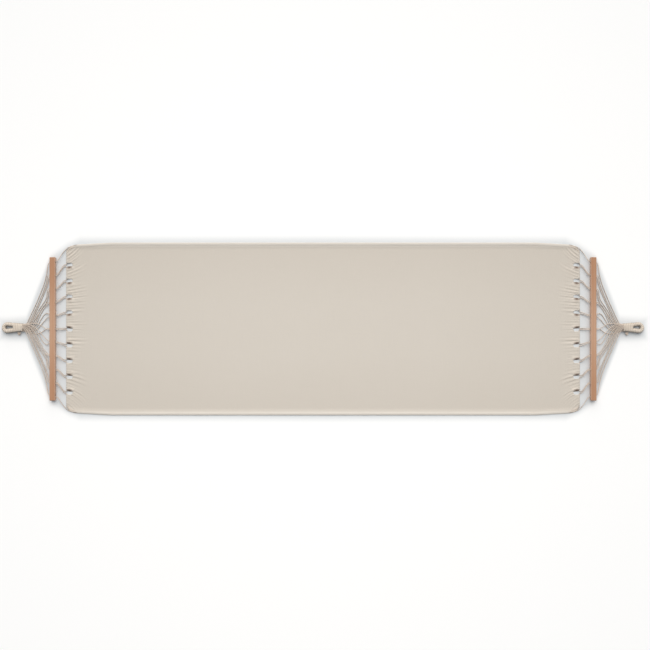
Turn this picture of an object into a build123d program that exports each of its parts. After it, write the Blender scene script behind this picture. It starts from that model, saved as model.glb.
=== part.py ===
from build123d import *
import math
import os

# A spreader-bar hammock, laid out flat on a floor: a canvas bed between two drilled wooden
# bars, laced to them with cotton cords that gather in a whipped rope eye at each end.
# Millimetres. +X runs along the length, +Z is up, and the floor is Z = 0.
# Each end is worked out once, with u as the distance from the middle of the bed, so that
# x = u at the right end and x = -u at the left end.

os.makedirs("parts", exist_ok=True)

ENDS = {"left": -1, "right": 1}
SIDES = {"front": -1, "back": 1}

# cord
CORD_D = 3.5
CORD_R = CORD_D / 2
ARC_SHARE = 0.45  # share of the shorter run that the arc at a corner takes

# canvas bed
CLOTH_T = 2.0
HALF_WIDTH = 401.0
FOLD_GAP = 0.2  # each half of the bed stops this far from the fold line
FOLD_Z = 7.5
HEM_U = 1190.0  # cord channel of the end hem, and the line that a bar folds about
HEM_Z = 3.6
HEM_R = 3.6
HEM_BORE_R = 2.1
TAB_PITCH = 73.3
OPENING_W = 24.0
OPENING_D = 28.0
OPENING_R = 6.0
OPENING_COUNT = 9
OUTER_TAB_END = 346.0  # where the cord channel of the outermost tab ends, near the corner
SIDE_HEM_W = 13.0
SIDE_HEM_H = 2 * HEM_Z
SIDE_HEM_Y = HALF_WIDTH - SIDE_HEM_W / 2
SIDE_HEM_PATH = [(FOLD_GAP, SIDE_HEM_Y), (985.0, SIDE_HEM_Y), (1134.0, 385.6)]
SIDE_CHANNEL_W = 9.4
SIDE_CHANNEL_H = 4.4
SIDE_CORD_GAP = 2.2  # each side cord lies this far off the middle of the side hem
# the cut corner, from the mouth of the side hem to the end of the outermost tab
CORNER_CUT = [
    (1134.0, 379.0), (1156.0, 374.5), (1172.0, 367.5), (1182.0, 357.0),
    (1186.0, OUTER_TAB_END), (HEM_U, OUTER_TAB_END),
]

# spreader bar
BAR_U = 1253.0
BAR_W = 25.0
BAR_H = 25.0
BAR_L = 664.0
BAR_EDGE_R = 3.0
HOLE_PITCH = 62.0
HOLE_COUNT = 11
HOLE_D = 10.0
HOLE_Z = BAR_H / 2
HOLE_EDGE = 0.8
STRAND_GAP = 2.4  # two strands share a hole, each this far off its middle

# clew
CLEW_U = 1267.8  # the line that a clew folds about, just outside the bar
LACE_START_U = 1265.4  # the lacing's ends lie in the mouths of the holes
NECK_FACE_U = 1390.0

# eye
EYE_Z = 11.0
EYE_Y = 6.5  # the eyes and necks lie this far to the back of the middle line
SWAY_FROM_U = 1330.0  # the strands begin to lean to the back here
SERVING_R = 11.0
CORE_R = 7.25
CORE_CLEARANCE = 0.15
EYE_BEND_R = 16.0
EYE_CENTRE_U = 1464.0
LEG_U = 1428.0
LEG_Y = 11.0
SERVING_START_U = 1430.0
CORE_END_U = 1407.0
NECK_AXIS_U = 1402.0  # the line that the eye flexes about
NECK_R = 11.0
NECK_HALF_INNER = 19.6
NECK_HALF_OUTER = 22.0
NECK_END_U = 1428.0
KNOT_U = 1411.0
KNOT_Y = EYE_Y - 24.0
KNOT_Z = 8.5
KNOT_L = 17.0
KNOT_R = 4.6
WHOLE_TURN = 360


def rounded_path(points):
    """Straight runs through the points, joined by the largest arcs that ARC_SHARE allows."""
    vectors = [Vector(*p) for p in points]
    radii = []
    for before, at, after in zip(vectors, vectors[1:], vectors[2:]):
        turn = math.radians((at - before).get_angle(after - at))
        run = min((at - before).length, (after - at).length)
        radii.append(ARC_SHARE * run / math.tan(turn / 2))
    return FilletPolyline(*vectors, radius=radii), radii


def tube(name, points):
    """A cord's solid along its rounded path, with its radii and volume printed for a check."""
    with BuildPart() as cord:
        with BuildLine():
            route, radii = rounded_path(points)
        with BuildSketch(Plane(origin=points[0], z_dir=route % 0)):
            Circle(CORD_R)
        sweep(path=route)
    ratio = cord.part.volume / (math.pi * CORD_R**2 * route.length)
    tight = f"tightest arc {min(radii):.1f} mm"
    print(f"{name}: {route.length:.0f} mm long, {tight}, volume ratio {ratio:.4f}")
    return cord.part.solids()[0]


def at_end(direction, points):
    """Points of the outward frame (u, y, z) placed at the left or the right end."""
    return [(direction * u, y, z) for u, y, z in points]


def on_side(sign, points):
    """Points of the back half mirrored to the front half for a sign of -1."""
    return [(u, sign * y, z) for u, y, z in points]


def write(piece, name):
    piece.label = name
    export_step(piece, f"parts/{name}.step")


# ---------------------------------------------------------------- canvas bed, in two halves
def hem_line(direction, sign):
    return [(direction * u, sign * y, HEM_Z) for u, y in SIDE_HEM_PATH]


def half_bed(direction):
    upper = [(direction * u, y) for u, y in SIDE_HEM_PATH + CORNER_CUT]
    lower = [(x, -y) for x, y in reversed(upper)]
    with BuildPart() as bed:
        with BuildSketch(Plane.XY):
            with BuildLine():
                Polyline(*upper, *lower, close=True)
            make_face()
        extrude(amount=CLOTH_T)
        for sign in SIDES.values():
            with BuildLine():
                side, _ = rounded_path(hem_line(direction, sign))
            with BuildSketch(Plane(origin=side @ 0, x_dir=(0, 1, 0), z_dir=side % 0)):
                SlotOverall(SIDE_HEM_W, SIDE_HEM_H)
            sweep(path=side)
        with BuildSketch(Plane.XZ.offset(-OUTER_TAB_END)):
            with Locations((direction * HEM_U, HEM_Z)):
                Circle(HEM_R)
        extrude(amount=2 * OUTER_TAB_END)
        with BuildSketch(Plane.XZ.offset(-OUTER_TAB_END)):
            with Locations((direction * HEM_U, HEM_Z)):
                Circle(HEM_BORE_R)
        extrude(amount=2 * OUTER_TAB_END, mode=Mode.SUBTRACT)
        for sign in SIDES.values():
            with BuildLine():
                side, _ = rounded_path(hem_line(direction, sign))
            with BuildSketch(Plane(origin=side @ 0, x_dir=(0, 1, 0), z_dir=side % 0)):
                SlotOverall(SIDE_CHANNEL_W, SIDE_CHANNEL_H)
            sweep(path=side, mode=Mode.SUBTRACT)
        with BuildSketch(Plane.XY):
            with Locations((direction * (HEM_U + HEM_R), 0)):
                with GridLocations(0, TAB_PITCH, 1, OPENING_COUNT):
                    RectangleRounded(2 * OPENING_D, OPENING_W, OPENING_R)
        extrude(amount=SIDE_HEM_H, mode=Mode.SUBTRACT)
    return bed.part


for end, direction in ENDS.items():
    write(half_bed(direction), f"canvas_bed_{end}_half")

# ---------------------------------------------------------------- side cords in the side hems
# Two cords run in each side hem: one comes round the corner from the outermost hole of the
# bar, the other out of the outermost tab.
OUTER_SIDE_CORD = [
    (1188.1, 375.7, HEM_Z),
    (1180.0, 380.6, HEM_Z),
    (1162.0, 385.3, HEM_Z),
    (1144.0, 387.2, HEM_Z),
    (985.0, SIDE_HEM_Y + SIDE_CORD_GAP, HEM_Z),
    (FOLD_GAP, SIDE_HEM_Y + SIDE_CORD_GAP, HEM_Z),
]
INNER_SIDE_CORD = [
    (1190.0, 346.6, HEM_Z),
    (1188.6, 359.0, HEM_Z),
    (1180.0, 370.8, HEM_Z),
    (1162.0, 379.0, HEM_Z),
    (1144.0, 382.8, HEM_Z),
    (985.0, SIDE_HEM_Y - SIDE_CORD_GAP, HEM_Z),
    (FOLD_GAP, SIDE_HEM_Y - SIDE_CORD_GAP, HEM_Z),
]
for end, direction in ENDS.items():
    for side, sign in SIDES.items():
        name = f"side_cords_{end}_{side}"
        strands = [
            tube(name, at_end(direction, on_side(sign, route)))
            for route in (OUTER_SIDE_CORD, INNER_SIDE_CORD)
        ]
        write(Compound(children=strands), name)

# ---------------------------------------------------------------- spreader bars
for end, direction in ENDS.items():
    with BuildPart() as bar:
        with BuildSketch(Plane.XY):
            with Locations((direction * BAR_U, 0)):
                Rectangle(BAR_W, BAR_L)
        extrude(amount=BAR_H)
        fillet(bar.edges(), BAR_EDGE_R)
        with BuildSketch(Plane.YZ.offset(direction * (BAR_U + BAR_W / 2))):
            with Locations((0, HOLE_Z)):
                with GridLocations(HOLE_PITCH, 0, HOLE_COUNT, 1):
                    Circle(HOLE_D / 2)
        extrude(amount=-direction * BAR_W, mode=Mode.SUBTRACT)
        rounds = bar.edges().filter_by(GeomType.CIRCLE)
        mouths = rounds.filter_by(lambda edge: edge.radius > BAR_EDGE_R + 1)
        chamfer(mouths, HOLE_EDGE)
    write(bar.part, f"spreader_bar_{end}")

# ---------------------------------------------------------------- eyes
# A bundle of cords doubled round a teardrop, served with cord, its two legs whipped together.
leg_reach = math.hypot(EYE_CENTRE_U - LEG_U, LEG_Y)
leg_slope = math.asin(EYE_BEND_R / leg_reach) - math.atan2(LEG_Y, EYE_CENTRE_U - LEG_U)
leg_length = math.sqrt(leg_reach**2 - EYE_BEND_R**2)
TOUCH_U = LEG_U + leg_length * math.cos(leg_slope)
TOUCH_Y = LEG_Y + leg_length * math.sin(leg_slope)


def leg_y(u):
    """How far the middle of a leg lies from the middle of the eye, on the straight part."""
    return LEG_Y + (u - LEG_U) * math.tan(leg_slope)


def eye_path(direction, from_u):
    """The teardrop that the bundle follows, from the legs at from_u round the tip and back."""
    tip = (direction * (EYE_CENTRE_U + EYE_BEND_R), EYE_Y, EYE_Z)
    start = (direction * from_u, EYE_Y + leg_y(from_u), EYE_Z)
    bend_in = (direction * TOUCH_U, EYE_Y + TOUCH_Y, EYE_Z)
    bend_out = (direction * TOUCH_U, EYE_Y - TOUCH_Y, EYE_Z)
    finish = (direction * from_u, EYE_Y - leg_y(from_u), EYE_Z)
    with BuildLine() as path:
        Line(start, bend_in)
        ThreePointArc(bend_in, tip, bend_out)
        Line(bend_out, finish)
    return path.wires()[0]


for end, direction in ENDS.items():
    core_path = eye_path(direction, CORE_END_U)
    serving_path = eye_path(direction, SERVING_START_U)
    bore_path = eye_path(direction, CORE_END_U - CORE_CLEARANCE)
    with BuildPart() as core:
        with BuildSketch(Plane(origin=core_path @ 0, z_dir=core_path % 0)):
            Circle(CORE_R)
        sweep(path=core_path)
    write(core.part, f"eye_core_{end}")

    with BuildPart() as serving:
        with BuildSketch(Plane(origin=serving_path @ 0, z_dir=serving_path % 0)):
            Circle(SERVING_R)
            Circle(CORE_R + CORE_CLEARANCE, mode=Mode.SUBTRACT)
        sweep(path=serving_path)
    write(serving.part, f"eye_serving_{end}")

    with BuildPart() as neck:
        with BuildSketch(Plane.YZ.offset(direction * NECK_AXIS_U)):
            with Locations((EYE_Y, EYE_Z)):
                SlotOverall(2 * NECK_HALF_INNER, 2 * NECK_R)
        with BuildSketch(Plane.YZ.offset(direction * NECK_END_U)):
            with Locations((EYE_Y, EYE_Z)):
                SlotOverall(2 * NECK_HALF_OUTER, 2 * NECK_R)
        loft()
        with BuildSketch(Plane.YZ.offset(direction * NECK_AXIS_U)):
            with Locations((EYE_Y, EYE_Z)):
                SlotOverall(2 * NECK_HALF_INNER, 2 * NECK_R)
                Rectangle(2 * NECK_HALF_INNER, NECK_R, align=(Align.CENTER, Align.MAX), mode=Mode.SUBTRACT)
        revolve(axis=Axis((direction * NECK_AXIS_U, 0, EYE_Z), (0, 1, 0)), revolution_arc=WHOLE_TURN)
        with BuildSketch(Plane(origin=bore_path @ 0, z_dir=bore_path % 0)):
            Circle(CORE_R + CORE_CLEARANCE)
        sweep(path=bore_path, mode=Mode.SUBTRACT)
    write(neck.part, f"neck_whipping_{end}")

    with BuildPart() as knot:
        with BuildSketch(Plane.XY.offset(KNOT_Z)):
            with Locations((direction * KNOT_U, KNOT_Y)):
                SlotOverall(KNOT_L, 2 * KNOT_R)
                Rectangle(KNOT_L, KNOT_R, align=(Align.CENTER, Align.MAX), mode=Mode.SUBTRACT)
        revolve(axis=Axis((direction * KNOT_U, KNOT_Y, KNOT_Z), (1, 0, 0)), revolution_arc=WHOLE_TURN)
        add(neck.part, mode=Mode.SUBTRACT)
    write(knot.part, f"whipping_knot_{end}")

# ---------------------------------------------------------------- lacing between bar and bed
# Each inner tab of the end hem is held by one cord: out of one hole of the bar, through the
# tab, and back into the next hole. The stretch in the tab lies on the fold line of the bar.
# The leg turns back round the mouth of the tab, or, where its hole lies well beyond the
# mouth, slants straight in above its neighbour.
MOUTH_TURN = [(1204.0, 8.5, 5.5), (1193.5, 9.5, HEM_Z), (HEM_U, 3.5, HEM_Z)]
MOUTH_SLANT = [(1204.0, 8.5, 7.5), (1196.0, 6.8, 4.4), (HEM_U, 3.5, HEM_Z)]
SLANT_FROM = 15.0
HOLE_END_U = 1234.0
MIDDLE_U = 1219.0
MIDDLE_SHARE = 0.45
TURN_HEIGHTS = (12.2, 8.8)
SLANT_HEIGHTS = (12.8, 12.4)


def lacing_leg(hole_y, tab_edge_y, outward):
    """From inside the bar's hole to the mouth of a tab, whose cloth lies on the far side."""
    slants = outward * (hole_y - tab_edge_y) > SLANT_FROM
    hole_end_z, middle_z = SLANT_HEIGHTS if slants else TURN_HEIGHTS
    offsets = MOUTH_SLANT if slants else MOUTH_TURN
    entry = [(u, tab_edge_y + outward * away, z) for u, away, z in offsets]
    middle_y = hole_y + MIDDLE_SHARE * (entry[0][1] - hole_y)
    return [
        (LACE_START_U, hole_y, HOLE_Z),
        (HOLE_END_U, hole_y, hole_end_z),
        (MIDDLE_U, middle_y, middle_z),
        *entry,
    ]


def lacing_route(tab):
    """The U of one cord: hole, tab, next hole. Tabs count from -3.5 at the front to 3.5."""
    tab_half = (TAB_PITCH - OPENING_W) / 2
    back_hole = HOLE_PITCH * (tab + 0.5) - STRAND_GAP
    front_hole = HOLE_PITCH * (tab - 0.5) + STRAND_GAP
    back_leg = lacing_leg(back_hole, TAB_PITCH * tab + tab_half, 1)
    front_leg = lacing_leg(front_hole, TAB_PITCH * tab - tab_half, -1)
    return back_leg + front_leg[::-1]


INNER_TABS = [-3.5, -2.5, -1.5, -0.5, 0.5, 1.5, 2.5, 3.5]
OUTER_TAB = 4.5
OUTERMOST_HOLE_Y = HOLE_PITCH * (HOLE_COUNT - 1) / 2
CORNER_LACE = [
    (LACE_START_U, OUTERMOST_HOLE_Y, HOLE_Z),
    (1233.0, 312.0, 12.2),
    (1220.0, 336.0, 9.4),
    (1204.0, 361.0, 5.2),
    (1190.0, 374.5, HEM_Z),
]
outer_tab_mouth_y = TAB_PITCH * OUTER_TAB - (TAB_PITCH - OPENING_W) / 2
OUTER_TAB_LACE = lacing_leg(HOLE_PITCH * 4 + STRAND_GAP, outer_tab_mouth_y, -1)
OUTER_TAB_LACE += [(HEM_U, OUTER_TAB_END, HEM_Z)]

for end, direction in ENDS.items():
    for number, tab in enumerate(INNER_TABS, start=1):
        name = f"lacing_cord_{end}_{number}"
        write(tube(name, at_end(direction, lacing_route(tab))), name)
    for side, sign in SIDES.items():
        name = f"corner_cords_{end}_{side}"
        strands = [
            tube(name, at_end(direction, on_side(sign, route)))
            for route in (CORNER_LACE, OUTER_TAB_LACE)
        ]
        write(Compound(children=strands), name)

# ---------------------------------------------------------------- clew
# Ten strands fan from the neck to the front half of the bar and lie over the ten that fan to
# the back half. Each list runs from the outermost strand inwards. The back strands follow the
# same plan mirrored, at the heights in BACK_HEIGHTS.
FRONT_FAN = [
    [
        (NECK_FACE_U, -2.2, 16.9), (1382.0, -8.0, 16.3), (1373.0, -27.0, 14.5),
        (1357.0, -64.0, 11.0), (1335.0, -114.0, 7.5), (1313.0, -166.0, 6.0),
        (1295.0, -212.0, 6.8), (1283.0, -256.0, 9.2), (1279.0, -284.0, 11.5),
        (1275.5, -300.0, 12.3), (CLEW_U, -310.0, HOLE_Z),
    ],
    [
        (NECK_FACE_U, -0.2, 13.1), (1380.5, -3.5, 12.9), (1369.0, -20.0, 12.0),
        (1350.0, -59.0, 9.2), (1328.0, -108.0, 6.2), (1306.0, -158.0, 5.0),
        (1290.5, -198.0, 6.2), (1282.0, -227.0, 9.5), (1279.0, -243.5, 12.0),
        (CLEW_U, -250.4, HOLE_Z),
    ],
    [
        (NECK_FACE_U, 1.8, 16.9), (1379.5, 0.0, 16.3), (1366.0, -15.5, 14.6),
        (1346.5, -53.0, 11.2), (1324.0, -103.0, 7.8), (1301.5, -153.0, 6.4),
        (1285.5, -192.0, 7.2), (1276.8, -221.0, 10.2), (1273.5, -235.5, 12.0),
        (CLEW_U, -245.6, HOLE_Z),
    ],
    [
        (NECK_FACE_U, 3.8, 13.1), (1378.0, 2.5, 12.9), (1363.0, -11.0, 12.1),
        (1344.0, -45.0, 9.4), (1323.0, -86.0, 6.0), (1301.0, -118.0, 4.5),
        (1286.0, -141.0, 5.5), (1282.0, -163.0, 8.2), (1279.5, -179.5, 11.4),
        (CLEW_U, -188.4, HOLE_Z),
    ],
    [
        (NECK_FACE_U, 5.8, 16.9), (1376.5, 5.0, 16.4), (1360.0, -6.5, 14.8),
        (1341.0, -38.0, 11.6), (1319.5, -76.0, 8.4), (1297.0, -107.0, 6.6),
        (1281.5, -132.0, 7.0), (1276.8, -155.0, 9.6), (1274.8, -171.0, 11.8),
        (CLEW_U, -183.6, HOLE_Z),
    ],
    [
        (NECK_FACE_U, 7.8, 13.1), (1375.0, 8.3, 13.0), (1358.0, 1.0, 12.4),
        (1342.5, -18.0, 10.8), (1330.0, -46.0, 8.2), (1318.5, -76.0, 5.6),
        (1304.0, -101.0, 5.0), (1287.0, -117.5, 8.2), (CLEW_U, -126.4, HOLE_Z),
    ],
    [
        (NECK_FACE_U, 9.8, 16.9), (1373.5, 11.0, 16.6), (1356.0, 6.0, 15.4),
        (1339.5, -11.0, 13.6), (1325.5, -38.0, 11.0), (1313.5, -68.0, 8.0),
        (1298.5, -93.0, 7.0), (1283.0, -111.0, 9.5), (CLEW_U, -121.6, HOLE_Z),
    ],
    [
        (NECK_FACE_U, 11.8, 13.1), (1372.0, 14.0, 13.0), (1354.0, 10.5, 12.6),
        (1337.0, -2.0, 11.8), (1321.5, -24.0, 9.8), (1308.0, -50.0, 7.0),
        (1294.0, -69.5, 6.0), (1279.5, -73.5, 9.0), (CLEW_U, -64.4, HOLE_Z),
    ],
    [
        (NECK_FACE_U, 13.8, 16.9), (1370.5, 17.0, 16.7), (1351.5, 15.5, 15.8),
        (1334.0, 6.0, 14.6), (1317.0, -10.0, 13.0), (1301.0, -30.0, 11.2),
        (1285.0, -48.0, 11.0), (CLEW_U, -59.6, HOLE_Z),
    ],
    [
        (NECK_FACE_U, 15.8, 13.1), (1369.0, 20.5, 13.0), (1349.5, 23.5, 12.5),
        (1331.0, 25.0, 11.5), (1314.0, 20.5, 11.0), (1298.0, 9.5, 12.0),
        (1282.0, -1.5, 13.6), (CLEW_U, -2.4, HOLE_Z),
    ],
]
BACK_HEIGHTS = [
    [5.1, 4.9, 4.3, 3.5, 3.0, 3.0, 3.8, 6.2, 9.6, 11.8, HOLE_Z],
    [8.9, 8.5, 7.4, 5.2, 3.6, 3.0, 3.8, 7.2, 11.0, HOLE_Z],
    [5.1, 4.9, 4.3, 3.3, 2.6, 2.6, 3.6, 7.5, 10.8, HOLE_Z],
    [8.9, 8.5, 7.6, 5.4, 3.4, 2.8, 3.6, 6.2, 10.4, HOLE_Z],
    [5.1, 4.9, 4.3, 3.2, 2.5, 2.4, 3.0, 6.4, 10.2, HOLE_Z],
    [8.9, 8.6, 7.8, 6.2, 4.2, 2.9, 3.0, 6.8, HOLE_Z],
    [5.1, 4.9, 4.4, 3.6, 2.8, 2.4, 2.8, 6.6, HOLE_Z],
    [8.9, 8.6, 7.8, 6.4, 4.6, 3.0, 2.8, 6.6, HOLE_Z],
    [5.1, 4.9, 4.5, 3.8, 3.2, 3.4, 6.2, HOLE_Z],
    [8.9, 8.2, 6.8, 5.4, 4.6, 5.2, 8.8, HOLE_Z],
]
BACK_FAN = [
    [(u, -y, z) for (u, y, _), z in zip(route, heights)]
    for route, heights in zip(FRONT_FAN, BACK_HEIGHTS)
]


def swayed(route):
    """A strand's points moved to the back as they near the neck: none at SWAY_FROM_U, and
    EYE_Y at the neck's face."""
    rate = EYE_Y / (NECK_FACE_U - SWAY_FROM_U)
    return [(u, y + rate * max(0, u - SWAY_FROM_U), z) for u, y, z in route]


FRONT_FAN = [swayed(route) for route in FRONT_FAN]
BACK_FAN = [swayed(route) for route in BACK_FAN]

# The two outermost strands of each fan belong to the side cords, and the rest to the loops.
LOOP_STRANDS = [
    (FRONT_FAN[2], FRONT_FAN[3]), (FRONT_FAN[4], FRONT_FAN[5]), (FRONT_FAN[6], FRONT_FAN[7]),
    (FRONT_FAN[8], FRONT_FAN[9]), (BACK_FAN[9], BACK_FAN[8]), (BACK_FAN[7], BACK_FAN[6]),
    (BACK_FAN[5], BACK_FAN[4]), (BACK_FAN[3], BACK_FAN[2]),
]
SIDE_STRANDS = {"front": FRONT_FAN[:2], "back": BACK_FAN[:2]}

for end, direction in ENDS.items():
    for number, routes in enumerate(LOOP_STRANDS, start=1):
        name = f"clew_cord_{end}_{number}"
        strands = [tube(name, at_end(direction, route)) for route in routes]
        write(Compound(children=strands), name)
    for side, routes in SIDE_STRANDS.items():
        name = f"clew_side_cords_{end}_{side}"
        strands = [tube(name, at_end(direction, route)) for route in routes]
        write(Compound(children=strands), name)
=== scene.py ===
import math

import bpy
import numpy as np
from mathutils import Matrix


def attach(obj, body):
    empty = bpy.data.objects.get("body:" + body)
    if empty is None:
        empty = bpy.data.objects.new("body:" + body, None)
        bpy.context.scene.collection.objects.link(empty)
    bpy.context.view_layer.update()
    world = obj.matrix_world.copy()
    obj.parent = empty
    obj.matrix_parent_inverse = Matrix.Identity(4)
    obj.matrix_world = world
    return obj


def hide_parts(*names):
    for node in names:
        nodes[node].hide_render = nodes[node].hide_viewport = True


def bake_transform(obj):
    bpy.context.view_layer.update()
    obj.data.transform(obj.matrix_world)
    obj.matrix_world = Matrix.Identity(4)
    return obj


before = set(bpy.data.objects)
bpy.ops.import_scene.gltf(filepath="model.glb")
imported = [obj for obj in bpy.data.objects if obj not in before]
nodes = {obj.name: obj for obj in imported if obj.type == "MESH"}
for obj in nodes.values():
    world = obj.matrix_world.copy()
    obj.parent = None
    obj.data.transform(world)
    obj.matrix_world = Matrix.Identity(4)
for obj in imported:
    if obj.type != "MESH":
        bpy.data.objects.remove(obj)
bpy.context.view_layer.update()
scene = bpy.context.scene
scene.view_settings.view_transform = "Standard"

# A canvas hammock laid out flat. Lengths in the tables are in millimetres and are turned into
# metres by MM. At each end u is the distance from the middle of the bed, so that x is u at the
# right end and -u at the left end.
MM = 0.001
ENDS = {"left": -1, "right": 1}
SIDES = {"front": -1, "back": 1}

# ---------------------------------------------------------------- camera
camera_data = bpy.data.cameras.new("overhead_camera")
camera_data.lens = 50
camera_data.sensor_width = 36
camera_data.clip_end = 50
camera = bpy.data.objects.new("overhead_camera", camera_data)
camera.location = (0.0093, 0.0181, 4.2)
scene.collection.objects.link(camera)
scene.camera = camera


# ---------------------------------------------------------------- making surfaces
def place(points, direction):
    """Points (u, y, z) in millimetres put at the left or right end, in metres."""
    return np.array(points, float) * (direction * MM, MM, MM)


def new_piece(name, mesh):
    piece = bpy.data.objects.new(name, mesh)
    scene.collection.objects.link(piece)
    return piece


def skin(name, grid, uv, keep=None, wrap=False, capped=False):
    """Quads over a grid of points of shape (rows, columns, 3). uv gives a pair for each point,
    with one more column where the columns wrap round. keep is a mask of the quads that stay.
    The first and last rows of a wrapped grid can be closed with a flat cap."""
    rows, columns = grid.shape[:2]
    index = np.arange(rows * columns).reshape(rows, columns)
    shown = index if wrap else index[:, :-1]
    beside = np.roll(index, -1, axis=1) if wrap else index[:, 1:]
    quads = np.stack([shown[:-1], beside[:-1], beside[1:], shown[1:]], axis=-1)
    corners = np.stack([uv[:-1, :-1], uv[:-1, 1:], uv[1:, 1:], uv[1:, :-1]], axis=2)
    if keep is not None:
        quads = quads[keep]
        corners = corners[keep]
    faces = quads.reshape(-1, 4).tolist()
    loops = corners.reshape(-1, 2)
    if capped:
        faces += [index[0, ::-1].tolist(), index[-1].tolist()]
        loops = np.concatenate([loops, uv[0, :-1][::-1], uv[-1, :-1]])
    mesh = bpy.data.meshes.new(name)
    mesh.from_pydata(grid.reshape(-1, 3).tolist(), [], faces)
    layer = mesh.uv_layers.new(name="surface")
    layer.data.foreach_set("uv", loops.astype(np.float32).ravel())
    mesh.polygons.foreach_set("use_smooth", np.ones(len(faces), bool))
    return mesh


def store(mesh, name, values):
    """A number for each vertex, which a material reads by its name."""
    attribute = mesh.attributes.new(name, "FLOAT", "POINT")
    attribute.data.foreach_set("value", values.astype(np.float32).ravel())


def along(line):
    """Distance from the start of a line to each of its points."""
    steps = np.linalg.norm(np.diff(line, axis=0), axis=1)
    return np.concatenate([[0.0], np.cumsum(steps)])


def even(line, step):
    """The same line with its points a fixed step apart."""
    reach = along(line)
    at = np.linspace(0, reach[-1], max(2, int(reach[-1] / step) + 1))
    return np.stack([np.interp(at, reach, line[:, axis]) for axis in range(3)], axis=1)


def carried(line, radius, angles):
    """A section of polar radius r(i, a) carried along a line: each point is the line's point i
    plus r (cos a side + sin a up), where side is level and up is square to side and line."""
    ahead = np.gradient(line, axis=0)
    ahead /= np.linalg.norm(ahead, axis=1)[:, None]
    side = np.cross((0, 0, 1), ahead)
    side /= np.linalg.norm(side, axis=1)[:, None]
    up = np.cross(ahead, side)
    turned = np.cos(angles)[None, :, None] * side[:, None]
    turned = turned + np.sin(angles)[None, :, None] * up[:, None]
    return line[:, None] + radius[..., None] * turned


def tube(name, grid, reach, groove):
    """A closed tube over a grid of points whose columns go round it. Its UV is metres along it
    and the share of a turn, and groove is 1 between two yarns or turns and 0 on their crowns."""
    share = np.linspace(0, 1, grid.shape[1] + 1)
    uv = np.stack(np.broadcast_arrays(reach[:, None], share[None]), axis=-1)
    mesh = skin(name, grid, uv, wrap=True, capped=True)
    store(mesh, "groove", groove)
    return new_piece(name, mesh)


# ---------------------------------------------------------------- cords
CORD_D = 3.5 * MM
CORD_LAY = 11 * MM  # length of one turn of the three yarns
CORD_YARNS = 3
CORD_SIDES = 12
YARN_GROOVE = 0.24  # share of the radius lost in the groove between two yarns


def spline_line(name, route):
    """Points along the smooth line of a cord, whose route gives its control points."""
    curve = bpy.data.curves.new(name, "CURVE")
    curve.dimensions = "3D"
    curve.resolution_u = 24
    spline = curve.splines.new("NURBS")
    spline.points.add(len(route) - 1)
    spline.points.foreach_set("co", np.column_stack([route, np.ones(len(route))]).ravel())
    spline.order_u = 3
    spline.use_endpoint_u = True
    holder = new_piece(name, curve)
    drawn = bpy.data.meshes.new_from_object(holder)
    line = np.zeros(len(drawn.vertices) * 3)
    drawn.vertices.foreach_get("co", line)
    bpy.data.objects.remove(holder)
    bpy.data.curves.remove(curve)
    bpy.data.meshes.remove(drawn)
    return line.reshape(-1, 3)


def laid_cord(name, line, step, diameter, lay):
    """Cotton yarns twisted together: at s along the cord and at the angle a round it, the
    radius falls from the crown of each of n yarns to the groove between two as
    1 - YARN_GROOVE (1 - |cos(n (a - 2 pi s / lay) / 2)|)."""
    points = even(line, step)
    reach = along(points)
    angles = np.arange(CORD_SIDES) * 2 * np.pi / CORD_SIDES
    phase = CORD_YARNS * (angles[None] - 2 * np.pi * reach[:, None] / lay) / 2
    crown = np.abs(np.cos(phase))
    radius = diameter / 2 * (1 - YARN_GROOVE * (1 - crown))
    return tube(name, carried(points, radius, angles), reach, 1 - crown)


def free_cord(name, route, step=1.7 * MM):
    """A laid cord along a route's smooth line."""
    line = spline_line(name, route)
    piece = laid_cord(name, line, step, CORD_D, CORD_LAY)
    return piece


HEM_U = 1190.0  # the end hem's cord
HEM_Z = 3.6
HOLE_Z = 12.5  # the bar's holes
HOLE_PITCH = 62.0
STRAND_GAP = 2.4  # from the middle of a hole to each of its two cords
SIDE_CORD_Z = 2.25
TAB_PITCH = 73.3
OPENING_W = 24.0  # between two tabs
TAB_HALF = (TAB_PITCH - OPENING_W) / 2
CLEW_U = 1267.8  # the strands leave the bar here
NECK_U = 1396.0  # the strands run this far into the whipping
NECK_FACE_U = 1390.0
EYE_Y = 6.5  # the eyes and necks lie this far to the back of the middle line
SWAY_FROM_U = 1330.0  # the strands begin to lean to the back here

# How a lacing cord enters a tab: (u, distance out from the tab's edge, z). It turns sharply, or
# comes in at a slant where its hole lies further out than SLANT_FROM.
MOUTH_TURN = [(1204.0, 8.5, 5.5), (1193.5, 9.5, HEM_Z), (HEM_U, 3.5, HEM_Z)]
MOUTH_SLANT = [(1204.0, 8.5, 7.5), (1196.0, 6.8, 4.4), (HEM_U, 3.5, HEM_Z)]
SLANT_FROM = 15.0
HOLE_END_U = 1234.0  # a cord comes straight out of its hole as far as here
MIDDLE_U = 1219.0  # half way from there to the tab
MIDDLE_SHARE = 0.45  # share of the way across done by then
TURN_HEIGHTS = (12.2, 8.8)  # at those two places
SLANT_HEIGHTS = (12.8, 12.4)


def lacing_leg(hole_y, tab_edge_y, outward):
    """From the inner mouth of a bar's hole into a tab, whose cloth lies on the far side."""
    slants = outward * (hole_y - tab_edge_y) > SLANT_FROM
    hole_end_z, middle_z = SLANT_HEIGHTS if slants else TURN_HEIGHTS
    offsets = MOUTH_SLANT if slants else MOUTH_TURN
    entry = [(u, tab_edge_y + outward * away, z) for u, away, z in offsets]
    middle_y = hole_y + MIDDLE_SHARE * (entry[0][1] - hole_y)
    return [(HOLE_END_U, hole_y, hole_end_z), (MIDDLE_U, middle_y, middle_z), *entry]


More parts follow.
